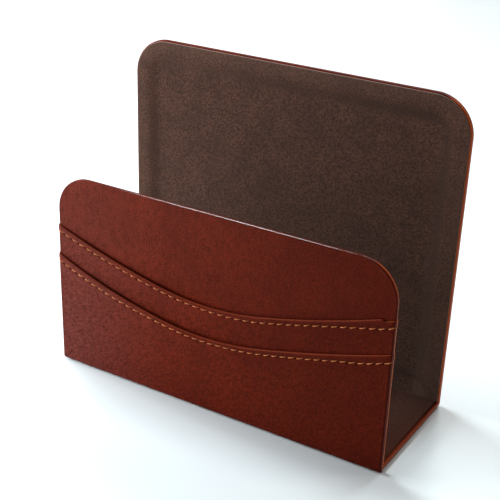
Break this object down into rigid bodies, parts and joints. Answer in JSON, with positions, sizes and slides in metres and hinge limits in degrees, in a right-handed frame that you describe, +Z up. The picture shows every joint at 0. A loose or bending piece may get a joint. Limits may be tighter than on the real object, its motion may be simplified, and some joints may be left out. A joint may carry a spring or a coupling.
{
  "type": "letter holder",
  "caption": "Desk letter holder with a tall back, a low front and open ends, covered in leather, with curved, stitched card pockets on the front.",
  "frame": {"origin": "middle of the footprint, on the desk", "axes": "+X along the width, the card pockets face -Y, +Z up"},
  "size_m": [0.18, 0.069, 0.155],
  "materials": {
    "fibreboard": "matte",
    "cover_leather": "satin",
    "pocket_leather": "satin",
    "thread": "matte",
    "lining": "matte",
    "pad": "matte"
  },
  "bodies": {
    "root": {"back_board": "fibreboard", "base_board": "fibreboard", "front_board": "fibreboard", "outer_cover": "cover_leather", "upper_pocket": "pocket_leather", "lower_pocket": "pocket_leather", "upper_stitching": "thread", "lower_stitching": "thread", "back_lining": "lining", "base_lining": "lining", "front_lining": "lining", "base_pad": "pad"}
  },
  "joints": []
}
